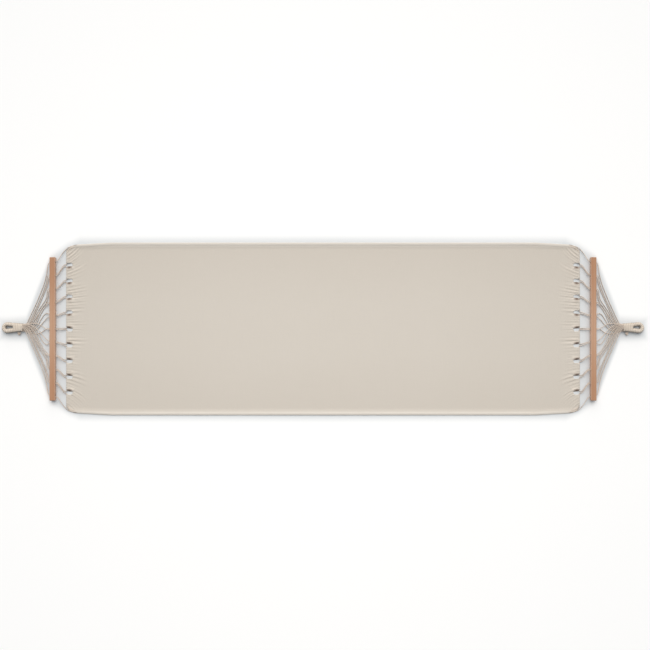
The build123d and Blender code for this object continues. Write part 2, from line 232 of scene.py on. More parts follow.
def lacing_route(tab):
    """From one hole round through a tab to the next hole, front to back."""
    front_hole = HOLE_PITCH * (tab - 0.5) + STRAND_GAP
    back_hole = HOLE_PITCH * (tab + 0.5) - STRAND_GAP
    front_leg = lacing_leg(front_hole, TAB_PITCH * tab - TAB_HALF, -1)
    back_leg = lacing_leg(back_hole, TAB_PITCH * tab + TAB_HALF, 1)
    return front_leg + back_leg[::-1]


INNER_TABS = [-3.5, -2.5, -1.5, -0.5, 0.5, 1.5, 2.5, 3.5]
CORNER_LACE = [
    (1233.0, 312.0, 12.2), (1220.0, 336.0, 9.4), (1204.0, 361.0, 5.2), (1190.0, 374.5, HEM_Z),
]
OUTER_TAB_END = 346.0
OUTER_TAB = 4.5  # tabs are counted from the middle of the bed
OUTER_TAB_LACE = lacing_leg(HOLE_PITCH * 4 + STRAND_GAP, TAB_PITCH * OUTER_TAB - TAB_HALF, -1)
OUTER_TAB_LACE += [(HEM_U, OUTER_TAB_END, HEM_Z)]

# Two cords run in each side hem, from corner to corner.
OUTER_SIDE_CORD = [
    (1188.1, 375.7, HEM_Z), (1180.0, 380.6, HEM_Z), (1162.0, 385.3, HEM_Z),
    (1144.0, 387.2, SIDE_CORD_Z), (985.0, 396.7, SIDE_CORD_Z),
]
INNER_SIDE_CORD = [
    (1190.0, 346.6, HEM_Z), (1188.6, 359.0, HEM_Z), (1180.0, 370.8, HEM_Z),
    (1162.0, 379.0, HEM_Z), (1144.0, 382.8, SIDE_CORD_Z), (985.0, 392.3, SIDE_CORD_Z),
]

# Ten strands fan from the neck to the front half of the bar and lie over the ten that fan to
# the back half. Each list runs from the outermost strand inwards.
FRONT_FAN = [
    [
        (NECK_U, -0.6, 16.9), (1382.0, -8.0, 16.3), (1373.0, -27.0, 14.5),
        (1357.0, -64.0, 11.0), (1335.0, -114.0, 7.5), (1313.0, -166.0, 6.0),
        (1295.0, -212.0, 6.8), (1283.0, -256.0, 9.2), (1279.0, -284.0, 11.5),
        (1275.5, -300.0, 12.3), (CLEW_U, -310.0, HOLE_Z),
    ],
    [
        (NECK_U, 0.8, 13.1), (1380.5, -3.5, 12.9), (1369.0, -20.0, 12.0),
        (1350.0, -59.0, 9.2), (1328.0, -108.0, 6.2), (1306.0, -158.0, 5.0),
        (1290.5, -198.0, 6.2), (1282.0, -227.0, 9.5), (1279.0, -243.5, 12.0),
        (CLEW_U, -250.4, HOLE_Z),
    ],
    [
        (NECK_U, 2.4, 16.9), (1379.5, 0.0, 16.3), (1366.0, -15.5, 14.6),
        (1346.5, -53.0, 11.2), (1324.0, -103.0, 7.8), (1301.5, -153.0, 6.4),
        (1285.5, -192.0, 7.2), (1276.8, -221.0, 10.2), (1273.5, -235.5, 12.0),
        (CLEW_U, -245.6, HOLE_Z),
    ],
    [
        (NECK_U, 4.2, 13.1), (1378.0, 2.5, 12.9), (1363.0, -11.0, 12.1),
        (1344.0, -45.0, 9.4), (1323.0, -86.0, 6.0), (1301.0, -118.0, 4.5),
        (1286.0, -141.0, 5.5), (1282.0, -163.0, 8.2), (1279.5, -179.5, 11.4),
        (CLEW_U, -188.4, HOLE_Z),
    ],
    [
        (NECK_U, 6.0, 16.9), (1376.5, 5.0, 16.4), (1360.0, -6.5, 14.8),
        (1341.0, -38.0, 11.6), (1319.5, -76.0, 8.4), (1297.0, -107.0, 6.6),
        (1281.5, -132.0, 7.0), (1276.8, -155.0, 9.6), (1274.8, -171.0, 11.8),
        (CLEW_U, -183.6, HOLE_Z),
    ],
    [
        (NECK_U, 7.8, 13.1), (1375.0, 8.3, 13.0), (1358.0, 1.0, 12.4),
        (1342.5, -18.0, 10.8), (1330.0, -46.0, 8.2), (1318.5, -76.0, 5.6),
        (1304.0, -101.0, 5.0), (1287.0, -117.5, 8.2), (CLEW_U, -126.4, HOLE_Z),
    ],
    [
        (NECK_U, 9.4, 16.9), (1373.5, 11.0, 16.6), (1356.0, 6.0, 15.4),
        (1339.5, -11.0, 13.6), (1325.5, -38.0, 11.0), (1313.5, -68.0, 8.0),
        (1298.5, -93.0, 7.0), (1283.0, -111.0, 9.5), (CLEW_U, -121.6, HOLE_Z),
    ],
    [
        (NECK_U, 11.2, 13.1), (1372.0, 14.0, 13.0), (1354.0, 10.5, 12.6),
        (1337.0, -2.0, 11.8), (1321.5, -24.0, 9.8), (1308.0, -50.0, 7.0),
        (1294.0, -69.5, 6.0), (1279.5, -73.5, 9.0), (CLEW_U, -64.4, HOLE_Z),
    ],
    [
        (NECK_U, 13.0, 16.9), (1370.5, 17.0, 16.7), (1351.5, 15.5, 15.8),
        (1334.0, 6.0, 14.6), (1317.0, -10.0, 13.0), (1301.0, -30.0, 11.2),
        (1285.0, -48.0, 11.0), (CLEW_U, -59.6, HOLE_Z),
    ],
    [
        (NECK_U, 14.6, 13.1), (1369.0, 20.5, 13.0), (1349.5, 23.5, 12.5),
        (1331.0, 25.0, 11.5), (1314.0, 20.5, 11.0), (1298.0, 9.5, 12.0),
        (1282.0, -1.5, 13.6), (CLEW_U, -2.4, HOLE_Z),
    ],
]
BACK_HEIGHTS = [
    [5.1, 4.9, 4.3, 3.5, 3.0, 3.0, 3.8, 6.2, 9.6, 11.8, HOLE_Z],
    [8.9, 8.5, 7.4, 5.2, 3.6, 3.0, 3.8, 7.2, 11.0, HOLE_Z],
    [5.1, 4.9, 4.3, 3.3, 2.6, 2.6, 3.6, 7.5, 10.8, HOLE_Z],
    [8.9, 8.5, 7.6, 5.4, 3.4, 2.8, 3.6, 6.2, 10.4, HOLE_Z],
    [5.1, 4.9, 4.3, 3.2, 2.5, 2.4, 3.0, 6.4, 10.2, HOLE_Z],
    [8.9, 8.6, 7.8, 6.2, 4.2, 2.9, 3.0, 6.8, HOLE_Z],
    [5.1, 4.9, 4.4, 3.6, 2.8, 2.4, 2.8, 6.6, HOLE_Z],
    [8.9, 8.6, 7.8, 6.4, 4.6, 3.0, 2.8, 6.6, HOLE_Z],
    [5.1, 4.9, 4.5, 3.8, 3.2, 3.4, 6.2, HOLE_Z],
    [8.9, 8.2, 6.8, 5.4, 4.6, 5.2, 8.8, HOLE_Z],
]
BACK_FAN = [
    [(u, -y, z) for (u, y, _), z in zip(route, heights)]
    for route, heights in zip(FRONT_FAN, BACK_HEIGHTS)
]


def swayed(route):
    """A strand's points moved to the back as they near the neck: none at SWAY_FROM_U, and
    EYE_Y at the neck's face and on."""
    reach = NECK_FACE_U - SWAY_FROM_U
    return [(u, y + EYE_Y * min(1, max(0, (u - SWAY_FROM_U) / reach)), z) for u, y, z in route]


FRONT_FAN = [swayed(route) for route in FRONT_FAN]
BACK_FAN = [swayed(route) for route in BACK_FAN]
# Each loop's strand to its front hole and its strand to its back hole, front to back.
LOOP_STRANDS = [(FRONT_FAN[n], FRONT_FAN[n + 1]) for n in (2, 4, 6, 8)]
LOOP_STRANDS += [(BACK_FAN[n + 1], BACK_FAN[n]) for n in (8, 6, 4, 2)]

cord_pieces = []
for end, direction in ENDS.items():
    for number, (tab, (out, back)) in enumerate(zip(INNER_TABS, LOOP_STRANDS), start=1):
        route = place(out + lacing_route(tab) + back[::-1], direction)
        piece = free_cord(f"loop_cord_{end}_{number}", route)
        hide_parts(f"lacing_cord_{end}_{number}", f"clew_cord_{end}_{number}")
        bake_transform(piece)
        cord_pieces.append(piece)
    for side, sign in SIDES.items():
        fan = FRONT_FAN if side == "front" else BACK_FAN
        corner_lace = [(u, sign * y, z) for u, y, z in CORNER_LACE]
        tab_lace = [(u, sign * y, z) for u, y, z in OUTER_TAB_LACE]
        strands = {
            f"corner_strand_{end}_{side}": fan[0] + corner_lace,
            f"outer_tab_strand_{end}_{side}": fan[1] + tab_lace,
        }
        for name, route in strands.items():
            piece = free_cord(name, place(route, direction))
            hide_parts(f"corner_cords_{end}_{side}", f"clew_side_cords_{end}_{side}")
            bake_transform(piece)
            cord_pieces.append(piece)

for side, sign in SIDES.items():
    for name, half in (("outer", OUTER_SIDE_CORD), ("inner", INNER_SIDE_CORD)):
        half = [(u, sign * y, z) for u, y, z in half]
        route = np.concatenate([place(half, -1), place(half[::-1], 1)])
        piece = free_cord(f"{name}_side_cord_{side}", route, step=3 * MM)
        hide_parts(f"side_cords_left_{side}", f"side_cords_right_{side}")
        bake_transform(piece)
        cord_pieces.append(piece)

# ---------------------------------------------------------------- canvas bed
CLOTH_T = 0.8
BODY_Z = 0.7  # middle of the cloth where it lies single
OPENING_HALF = OPENING_W / 2
OPENING_MIDDLES = TAB_PITCH * np.arange(-4, 5)
HEM_TUBE_R = 3.1
SIDE_HEM_HALF = 6.5
SIDE_HEM_RISE = 2.0
HEM_STEPS = 16  # columns round a side hem
MARGIN_STEPS = 10  # columns from the tabs to a side hem
FINE_HALF = 346.0  # the columns between the side margins reach this far
GATHER_DEPTH = 0.35  # of the end hem on its cord
GATHER_PITCH = 6.3
EDGE_AT = -13.5  # the turned-up edge of a tab, outwards from its opening's middle
EDGE_W = 3.2
EDGE_RISE = 2.6
FACING_EDGE = -3.4  # the facing of a tab runs from the opening's side to here
FACING_DROP = 8.5  # and drops to the floor over this width
FACING_LOW_Z = 0.6
SLANT_OUT = 6.5  # a tab's outer edge leans outwards by this, away from the end hem,
SLANT_U = 25  # over this length
SLANT_AT = -9  # most at this place, outwards from the opening's middle,
SLANT_HALF = 9  # and not at all this far from it
FLOOR_ROUND = 4.5  # the floor of an opening is this much nearer the end at its sides
FLOOR_BACK = 1.5  # and this much further from it in its middle
HEM_WAVER = 0.2
PLEAT_FROM_U = 1172
PLEAT_REACH = (52, 36)  # length of the weakest pleat, and how much longer the strongest is
PLEAT_PITCH = 13.3
PLEAT_RISE = 2.6
SOFT_PITCH = 19.7
SOFT_RISE = 0.7
FLOOR_ROW = 31  # rows counted outwards along an end: the floor of the openings,
TUBE_ROW = 37  # the first row of the hem's tube,
SEAM_ROW = 52  # and the seam that closes it
# where the middle of the side hem runs, round the corner to the end hem
HEM_MIDDLE_U = [0.0, 985.0, 1134.0, 1146.0, 1158.0, 1168.0, 1177.0, 1184.0, 1189.0, 1194.0]
HEM_MIDDLE_Y = [394.5, 394.5, 386.2, 385.0, 382.8, 379.8, 375.4, 369.6, 362.0, 356.5]


def step_up(value, low, high):
    """0 below low, 1 above high, and a smooth S between."""
    share = np.clip((value - low) / (high - low), 0, 1)
    return share * share * (3 - 2 * share)


def bell(value, middle, width):
    """exp(-((value - middle) / width)^2): 1 at the middle, and falling away on both sides."""
    return np.exp(-(((value - middle) / width) ** 2))


def from_opening(y):
    """The side of the bed that the nearest opening is on, 1 or -1, and the distance from its
    middle. The middle opening goes with the front ones."""
    nearest = OPENING_MIDDLES[np.abs(y[..., None] - OPENING_MIDDLES).argmin(axis=-1)]
    return np.where(nearest > 1, 1, -1), y - nearest


def fine_columns():
    """Places across the bed for its middle part: lines at each opening's edges and at even
    steps over the tabs between."""
    opening = np.array([-OPENING_HALF, -9.5, -7, -3.5, 0, 3.5, 7, 9.5, OPENING_HALF])
    tab = np.linspace(OPENING_HALF, TAB_PITCH - OPENING_HALF, 13)[1:-1]
    lines = [middle + opening for middle in OPENING_MIDDLES]
    lines += [middle + tab for middle in OPENING_MIDDLES[:-1]]
    outer = np.linspace(OPENING_MIDDLES[-1] + OPENING_HALF, FINE_HALF, 11)[1:]
    return np.sort(np.concatenate(lines + [outer, -outer]))


def end_profile():
    """The path of the cloth at an end as (u, z): flat, up over the lacing cord, round it and
    back underneath to the hem's seam."""
    flat = np.concatenate([
        np.linspace(1060, 1160, 30), [1163, 1165.6, 1168.4, 1172, 1176, 1180, 1184.5],
    ])
    turn = np.radians(np.linspace(118, -90, 15))
    under = np.array([1184.0, 1177.0, 1170.0])
    u = np.concatenate([flat, HEM_U + HEM_TUBE_R * np.cos(turn), under])
    rise = BODY_Z + 0.9 * step_up(flat, 1120, 1165) + 3.0 * step_up(flat, 1168, 1190)
    z = np.concatenate([rise, HEM_Z + HEM_TUBE_R * np.sin(turn), [0.48, 0.46, 0.45]])
    return u, z


def cloth_rows():
    """x and z of each row from the left end to the right, and how many rows lie in half of the
    plain body and in an end."""
    u, z = end_profile()
    near = np.array([2.5, 5, 7.5, 10, 14])
    body = np.concatenate([near, np.linspace(40, 1040, 20)])
    half_u = np.concatenate([body, u])
    half_z = np.concatenate([np.full(len(body), BODY_Z), z])
    x = np.concatenate([-half_u[::-1], [0], half_u])
    height = np.concatenate([half_z[::-1], [BODY_Z], half_z])
    return x, height, len(body), len(u)


def pleats(u, y):
    """Small gathers that start at the end hem and run out into the cloth, leaning outwards
    the nearer they are to a side. Across them the lift is a narrow ridge, PLEAT_RISE times
    (1 - |sin turn|)^1.6, plus SOFT_RISE times a soft sine. wander, from 0 to 1, drifts from
    pleat to pleat and sets a pleat's strength and its length, over which it dies away. Gives
    the lift, and how far a place is on a crest and in a valley."""
    lean = 0.16 * y / FINE_HALF + 0.55 * np.abs(y / FINE_HALF) ** 3 * np.sign(y)
    across = y - lean * (HEM_U - u)
    wander = 0.5 + 0.5 * np.sin(across / 17.3 + 1.9 * np.sin(across / 41.0))
    length = PLEAT_REACH[0] + PLEAT_REACH[1] * wander
    strength = np.clip(1 - (PLEAT_FROM_U - u) / length, 0, 1) ** 1.2
    turn = across * np.pi / PLEAT_PITCH + 1.3 * np.sin(across / 23.0)
    sharp = 1 - np.abs(np.sin(turn))
    valley = 1 - np.abs(np.sin(turn + 0.75))
    soft = np.sin(across * 2 * np.pi / SOFT_PITCH + 2.1 * np.sin(across / 31.0))
    weight = strength * (0.45 + 0.55 * wander)
    lift = weight * (PLEAT_RISE * sharp**1.6 + SOFT_RISE * soft)
    return lift, weight * sharp**2, weight * valley**2


x_rows, z_rows, body_count, end_count = cloth_rows()
u_rows = np.abs(x_rows)
fine = fine_columns()
edge_share = np.linspace(0, 1, MARGIN_STEPS + 1)[1:]
hem_turn = np.radians(np.linspace(150, -150, HEM_STEPS + 1))
hem_side = np.stack([np.cos(hem_turn), np.sin(hem_turn)])

hem_y = np.interp(u_rows, HEM_MIDDLE_U, HEM_MIDDLE_Y)
edge_y = hem_y + SIDE_HEM_HALF * hem_side[0][0]
margin = FINE_HALF + edge_share[None] * (edge_y[:, None] - FINE_HALF)
hem_out = hem_y[:, None] + SIDE_HEM_HALF * hem_side[0][None, 1:]
upper_y = np.concatenate([margin, hem_out], axis=1)
middle_y = np.broadcast_to(fine, (len(x_rows), len(fine)))
across = np.concatenate([-upper_y[:, ::-1], middle_y, upper_y], axis=1)

lift, crest, valley = pleats(u_rows[:, None], across)
height = z_rows[:, None] + lift

# the tube of the end hem is gathered on its cord
one_end = np.arange(end_count)
end_rows = np.concatenate([one_end[::-1], np.full(2 * body_count + 1, -1), one_end])
in_tube = (end_rows >= TUBE_ROW) & (end_rows < SEAM_ROW)
gather = GATHER_DEPTH * np.sin(across * 2 * np.pi / GATHER_PITCH + 1.7 * np.sin(across / 19.0))
out_from_cord = np.stack([u_rows - HEM_U, z_rows - HEM_Z])
along_u = np.where(in_tube, out_from_cord[0] / HEM_TUBE_R, 0)[:, None] * gather
gathered = z_rows[:, None] + out_from_cord[1][:, None] / HEM_TUBE_R * gather
height = np.where(in_tube[:, None], gathered, height)
after_tube = end_rows >= SEAM_ROW
height = np.where(after_tube[:, None], z_rows[:, None], height)
place_u = u_rows[:, None] + along_u

# tabs: the floor of each opening is round, and the edge of a tab on its outer side is turned
# up and over beside a narrow facing that drops into the opening
outward, from_middle = from_opening(across)
outwards = outward * from_middle
depth = step_up(u_rows, 1150, 1166)[:, None] * (end_rows < SEAM_ROW)[:, None]
height += depth * EDGE_RISE * bell(outwards, EDGE_AT, EDGE_W) * (1 - 0.6 * in_tube[:, None])
slant = np.clip((HEM_U - u_rows) / SLANT_U, 0, 1)[:, None] * depth
slant_share = np.clip(1 - np.abs(outwards - SLANT_AT) / SLANT_HALF, 0, 1)
across_moved = across + outward * slant * SLANT_OUT * slant_share
in_opening = np.abs(from_middle) < OPENING_HALF + 0.01
facing = in_opening & (outwards < FACING_EDGE)
low_rows = (end_rows >= FLOOR_ROW)[:, None]
floor_row = (end_rows == FLOOR_ROW)[:, None]
drop = np.clip((outwards + OPENING_HALF) / FACING_DROP, 0, 1)
height = np.where(facing & low_rows, height * (1 - drop) + FACING_LOW_Z * drop, height)
round_floor = FLOOR_ROUND * (np.abs(from_middle) / OPENING_HALF) ** 2.5 * in_opening * floor_row
place_u = place_u + round_floor - FLOOR_BACK * in_opening * floor_row

# side hems stand as tubes round their cords; turn_of is each column's place round its tube
one_side = np.arange(upper_y.shape[1])
hem_columns = np.concatenate([one_side[::-1], np.full(len(fine), -1), one_side])
in_hem = hem_columns >= MARGIN_STEPS
turn_of = np.where(in_hem, np.clip(hem_columns - MARGIN_STEPS + 1, 0, HEM_STEPS), 0)
hem_up = hem_side[1][turn_of][None]
waver = HEM_WAVER * np.sin(x_rows / 47.0 + 1.3 * np.sin(x_rows / 113.0))
hem_height = SIDE_CORD_Z + SIDE_HEM_RISE * hem_up + waver[:, None] * hem_up
height = np.where(in_hem[None], hem_height, height)
inner_rise = SIDE_CORD_Z + SIDE_HEM_RISE * hem_side[1][0]
join = step_up(hem_columns, MARGIN_STEPS - 5.5, MARGIN_STEPS)[None] * (~in_hem)[None]
joined = height * (1 - join) + inner_rise * join
height = np.where(in_tube[:, None] | after_tube[:, None], height, joined)

grid = np.stack([np.sign(x_rows)[:, None] * place_u, across_moved, height], axis=-1) * MM

# quads that stay: not the mouth of an opening, not the hem or margin beyond the corner's cut
row_of = np.minimum(end_rows[:-1], end_rows[1:])
quad_outward, quad_middle = from_opening((across[:-1, :-1] + across[:-1, 1:]) / 2)
quad_open = np.abs(quad_middle) < OPENING_HALF
hollow = quad_open & (quad_outward * quad_middle > FACING_EDGE)
facing_quad = quad_open & (quad_outward * quad_middle < FACING_EDGE)
past_floor = (row_of >= FLOOR_ROW)[:, None]
past_facing = (row_of >= TUBE_ROW)[:, None]
keep = ~(hollow & past_floor) & ~(facing_quad & past_facing)
column_of = np.maximum(hem_columns[:-1], hem_columns[1:])
keep &= ~((column_of >= 0)[None] & (row_of >= SEAM_ROW - 3)[:, None])

reach = np.concatenate([[0], np.cumsum(np.hypot(np.diff(x_rows), np.diff(z_rows)))])
uv = np.stack(np.broadcast_arrays(reach[:, None], across), axis=-1) * MM
cloth_mesh = skin("canvas_bed", grid, uv, keep=keep)
# painted highlight on the crowns of the turned-up tab edges, added to the crests of the pleats
edge_crown_highlight = depth * bell(outwards, EDGE_AT - 1, 2.4)
store(cloth_mesh, "crest_highlight", np.clip(crest * (~in_hem)[None] + edge_crown_highlight, 0, 1))
# painted shade in the valleys of the pleats, not on the side hems or the facings
store(cloth_mesh, "valley", np.clip(valley * (~in_hem)[None] * (~facing), 0, 1))
# painted shade on the facings of the openings, leaf-shaped along each, and varying in strength
# along the outer edge of each corner
outer_side = bell(turn_of, HEM_STEPS / 2, 3.0) * in_hem
corner_edge_shade = step_up(u_rows, 1132, 1150) * (0.55 + 0.45 * np.sin(u_rows / 5.2))
leaf = 0.4 + 0.6 * bell(u_rows, 1179, 8.5)
facing_shade = facing * low_rows * leaf[:, None]
store(cloth_mesh, "shade", np.clip(facing_shade + corner_edge_shade[:, None] * outer_side[None], 0, 1))
canvas = new_piece("canvas_bed", cloth_mesh)
solidify = canvas.modifiers.new("cloth_thickness", "SOLIDIFY")
solidify.thickness = CLOTH_T * MM
solidify.offset = 0
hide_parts("canvas_bed_left_half", "canvas_bed_right_half")

# ---------------------------------------------------------------- eyes
EYE_Z = 11.0
SERVING_R = 11.0
SERVING_GROOVE = 1.3
BACK_THINNER = 1.7  # the back limb of an eye is thinner by this at its radius
EYE_BEND_R = 16.0
EYE_CENTRE_U = 1464.0
LEG_U = 1428.0
LEG_Y = 11.0
LEG_STEPS = 11
SERVING_START_U = 1424.0
SERVING_SIDES = 40
TURN_PITCH = 7.6
NECK_START_U = 1391.0
NECK_AXIS_U = 1402.0
NECK_END_U = 1435.0
NECK_TAIL = 2.2  # the whipping tapers over this length at the eye's end
NECK_R = 11.0
NECK_HALF = 19.6
NECK_FLARE = 3.0  # growth of that half width over NECK_FLARE_L
NECK_FLARE_L = 30
NECK_GROOVE = 1.4
NECK_SIDES = 72
KNOT_U = 1411.0
KNOT_Y = EYE_Y - 27.5
KNOT_Z = 7.5
KNOT_SPREAD = (2.4, 2.2, 1.4)
KNOT_D = 4.4 * MM

leg_reach = math.hypot(EYE_CENTRE_U - LEG_U, LEG_Y)
leg_slope = math.asin(EYE_BEND_R / leg_reach) - math.atan2(LEG_Y, EYE_CENTRE_U - LEG_U)
leg_length = math.sqrt(leg_reach**2 - EYE_BEND_R**2)
touch_u = LEG_U + leg_length * math.cos(leg_slope)
start_y = LEG_Y + (SERVING_START_U - LEG_U) * math.tan(leg_slope)


def teardrop():
    """The middle line of the eye: a straight leg, an arc round the tip, and a leg back, each
    leg touching the arc. It begins on the back side."""
    sweep = np.linspace(np.pi / 2 + leg_slope, -np.pi / 2 - leg_slope, 60)
    arc_u = EYE_CENTRE_U + EYE_BEND_R * np.cos(sweep)
    arc_y = EYE_BEND_R * np.sin(sweep)
    u = np.concatenate([np.linspace(SERVING_START_U, touch_u, LEG_STEPS + 1)[:-1], arc_u])
    y = np.concatenate([np.linspace(start_y, arc_y[0], LEG_STEPS + 1)[:-1], arc_y])
    u = np.concatenate([u, u[:LEG_STEPS][::-1]])
    y = np.concatenate([y, -y[:LEG_STEPS][::-1]])
    return np.stack([u, EYE_Y + y, np.full(len(u), EYE_Z)], axis=1)


def turn_crown(phase):
    """1 on the crown of each turn of winding cord and 0 in the groove between two turns."""
    return np.sqrt(np.clip(1 - (2 * (phase / (2 * np.pi) % 1) - 1) ** 2, 0, 1))


def serving(name, direction):
    """Close turns of cord wound round the eye. The radius wanders a little, is BACK_THINNER
    less on the back limb, and falls by SERVING_GROOVE in the grooves, which climb round the
    rope once for each turn."""
    line = even(place(teardrop(), direction), 0.45 * MM)
    reach = along(line)
    angles = np.arange(SERVING_SIDES) * 2 * np.pi / SERVING_SIDES
    wander = 0.5 * np.sin(reach / (9.1 * MM)) * np.sin(reach / (4.3 * MM))
    phase = 2 * np.pi * reach[:, None] / (TURN_PITCH * MM) + wander[:, None] - angles[None]
    crown = turn_crown(phase)
    to_back = step_up(line[:, 1] / MM - EYE_Y, -6, 12)[:, None]
    body = SERVING_R - 0.35 - BACK_THINNER * to_back + 0.25 * np.sin(reach / (13.7 * MM))[:, None]
    radius = (body - SERVING_GROOVE * (1 - crown)) * MM
    return tube(name, carried(line, radius, angles), reach, 1 - crown)


def neck(name, direction):
    """Close turns of cord wound flat round the strands and the two legs of the eye. Each
    section is a disc of radius r drawn out sideways to a half width w, y = (w - r) tanh(3 cos a)
    + r cos a and z = r sin a; r grows as a quarter circle at the clew's end and dips by
    NECK_GROOVE between the turns."""
    u = np.arange(NECK_START_U + 0.15, NECK_END_U + NECK_TAIL, 0.42)
    angles = direction * np.arange(NECK_SIDES) * 2 * np.pi / NECK_SIDES
    nose = np.clip(NECK_AXIS_U - u, 0, None)
    tail = np.clip((u - NECK_END_U) / NECK_TAIL, 0, 1)
    radius = np.sqrt(np.clip(NECK_R**2 - nose**2, 2.0, None)) * (1 - 0.25 * tail**2)
    half = NECK_HALF + NECK_FLARE * np.clip((u - NECK_AXIS_U) / NECK_FLARE_L, 0, 1)
    phase = 2 * np.pi * u[:, None] / TURN_PITCH + 0.5 * np.sin(u / 5.3)[:, None] - angles[None]
    crown = turn_crown(phase)
    dip = NECK_GROOVE * (1 - crown) * np.clip(radius[:, None] / NECK_R, 0.3, 1)
    wound = radius[:, None] - 0.3 - dip
    y = EYE_Y + (half - radius)[:, None] * np.tanh(3 * np.cos(angles)) + wound * np.cos(angles)
    z = EYE_Z + wound * np.sin(angles)
    grid = np.stack([np.broadcast_to(direction * u[:, None], y.shape), y, z], axis=-1) * MM
    return tube(name, grid, (u - u[0]) * MM, 1 - crown)


def knot(name, direction):
    """A small overhand knot beside the neck, a trefoil (sin t + 2 sin 2t, cos t - 2 cos 2t,
    -sin 3t) drawn small, with its cord twisted as the others are."""
    t = np.linspace(0, 2 * np.pi, 120)[:-1]
    trefoil = [np.sin(t) + 2 * np.sin(2 * t), np.cos(t) - 2 * np.cos(2 * t), -np.sin(3 * t)]
    line = np.stack(trefoil, axis=1) * KNOT_SPREAD + (KNOT_U, KNOT_Y, KNOT_Z)
    return laid_cord(name, place(line, direction), 0.6 * MM, KNOT_D, CORD_LAY)


for end, direction in ENDS.items():
    body = f"eye_{end}"
    eye_serving = serving(f"eye_turns_{end}", direction)
    neck_turns = neck(f"neck_turns_{end}", direction)
    small_knot = knot(f"overhand_knot_{end}", direction)
    for piece, node, slot in (
        (eye_serving, "eye_serving", "eye_serving"),
        (neck_turns, "neck_whipping", "whipping_cord"),
        (small_knot, "whipping_knot", "whipping_cord"),
    ):
        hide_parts(f"{node}_{end}")
        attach(piece, body)
        cord_pieces.append(piece)

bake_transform(canvas)


# ---------------------------------------------------------------- materials
def new_material(name, roughness, sheen=0.0):
    """A material, its node tree and its shader."""
    made = bpy.data.materials.new(name)
    made.use_nodes = True
    tree = made.node_tree
    shader = tree.nodes["Principled BSDF"]
    shader.inputs["Roughness"].default_value = roughness
    shader.inputs["Sheen Weight"].default_value = sheen
    shader.inputs["Sheen Roughness"].default_value = 0.5
    shader.inputs["Specular IOR Level"].default_value = 0.25
    return made, tree, shader


def node(tree, kind, inputs=None, **settings):
    """A node with its settings, and its inputs linked from a socket or set to a value."""
    made = tree.nodes.new(kind)
    for key, value in settings.items():
        setattr(made, key, value)
    for key, value in (inputs or {}).items():
        if isinstance(value, bpy.types.NodeSocket):
            tree.links.new(value, made.inputs[key])
        else:
            made.inputs[key].default_value = value
    return made


def mixed(tree, factor, first, second):
    """A colour between two, where each is a socket or four numbers."""
    mix = node(tree, "ShaderNodeMix", data_type="RGBA")
    for index, value in ((0, factor), (6, first), (7, second)):
        if isinstance(value, bpy.types.NodeSocket):
            tree.links.new(value, mix.inputs[index])
        else:
            mix.inputs[index].default_value = value
    return mix.outputs[2]


def sums(tree, operation, first, second=0.0):
    made = node(tree, "ShaderNodeMath", operation=operation)
    for index, value in enumerate((first, second)):
        if isinstance(value, bpy.types.NodeSocket):
            tree.links.new(value, made.inputs[index])
        else:
            made.inputs[index].default_value = value
    return made.outputs[0]


def tinted(tree, tone, source, share, colour):
    """A tone drawn towards a colour by a share of what source gives, from 0 to 1."""
    return mixed(tree, sums(tree, "MULTIPLY", source, share), tone, colour)


def darkened(colour, share):
    return tuple(share * channel for channel in colour[:3]) + (1,)


def ramp(tree, value, start, stop, low=0.0):
    """low where the value is at start, and 1 where it is at stop."""
    inputs = {"Value": value, "From Min": start, "From Max": stop, "To Min": low}
    return node(tree, "ShaderNodeMapRange", inputs).outputs["Result"]


def noise(tree, vector, scale, detail, distortion=0.0):
    inputs = {"Vector": vector, "Scale": scale, "Detail": detail, "Distortion": distortion}
    return node(tree, "ShaderNodeTexNoise", inputs).outputs["Fac"]


def stored(tree, name):
    """A number that store left on the vertices."""
    return node(tree, "ShaderNodeAttribute", attribute_name=name).outputs["Fac"]


def axes(tree, coordinate):
    """The X, Y and Z of a texture coordinate: Object for the place, Normal for the facing."""
    vector = node(tree, "ShaderNodeTexCoord").outputs[coordinate]
    return node(tree, "ShaderNodeSeparateXYZ", {"Vector": vector}).outputs


def stretched(tree, source, scale):
    return node(tree, "ShaderNodeMapping", {"Vector": source, "Scale": scale}).outputs["Vector"]


def bumped(tree, shader, heights):
    """Bumps added one on another, each a socket with its strength and its depth in metres."""
    normal = None
    for socket, strength, distance in heights:
        inputs = {"Height": socket, "Strength": strength, "Distance": distance}
        if normal is not None:
            inputs["Normal"] = normal
        normal = node(tree, "ShaderNodeBump", inputs).outputs["Normal"]
    tree.links.new(normal, shader.inputs["Normal"])


